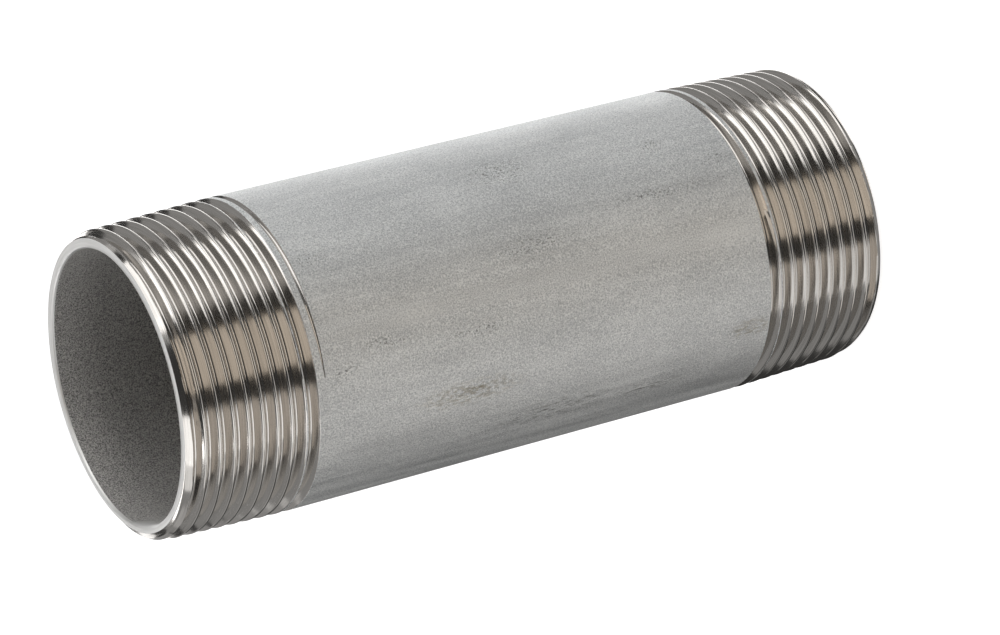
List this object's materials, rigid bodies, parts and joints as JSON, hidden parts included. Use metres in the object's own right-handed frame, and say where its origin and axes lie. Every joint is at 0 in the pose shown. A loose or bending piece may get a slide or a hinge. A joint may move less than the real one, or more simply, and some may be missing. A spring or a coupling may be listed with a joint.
{
  "type": "pipe nipple",
  "caption": "Straight barrel nipple turned from welded stainless pipe, open right through, with a taper male pipe thread on each end.",
  "frame": {"origin": "middle of the lower end face, where the nipple stands on that end", "axes": "+Z along the pipe's axis to the upper end, -Y towards the side that the picture shows, +X to what is up in the picture"},
  "size_m": [0.048, 0.048, 0.121],
  "materials": {
    "stainless_steel": "pickled and blasted satin grey pipe, with bright machined threads and end faces"
  },
  "bodies": {
    "root": {"nipple": "stainless_steel"}
  },
  "joints": []
}
